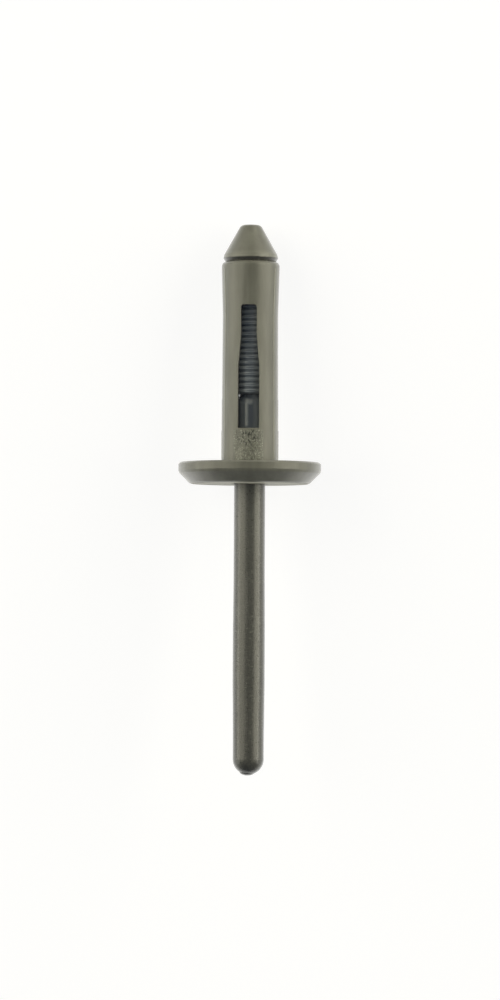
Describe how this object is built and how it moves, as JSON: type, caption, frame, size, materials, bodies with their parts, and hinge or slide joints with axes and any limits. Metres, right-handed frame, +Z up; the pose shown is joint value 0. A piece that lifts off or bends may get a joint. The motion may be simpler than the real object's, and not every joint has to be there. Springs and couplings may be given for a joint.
{
  "type": "plastic rivet",
  "caption": "Plastic blind rivet lying on its side: a wide bevelled flange, a slotted folding sleeve, and a pull mandrel with ratchet rings and a blunt conical head.",
  "frame": {"origin": "on the floor, under the middle of the bounding box", "axes": "the rivet lies in the Y-Z plane: +Y towards the conical head, which leans down by 12.0 degrees, -Y towards the raised stem tip, +Z up, one slot of the sleeve facing up"},
  "size_m": [0.016, 0.0606, 0.0164],
  "materials": {
    "moulded_nylon_body": "fine satin as moulded, olive grey",
    "moulded_nylon_mandrel": "fine satin as moulded, olive grey, scuffed along the stem"
  },
  "bodies": {
    "root": {"rivet_body": "moulded_nylon_body", "mandrel": "moulded_nylon_mandrel"}
  },
  "joints": []
}
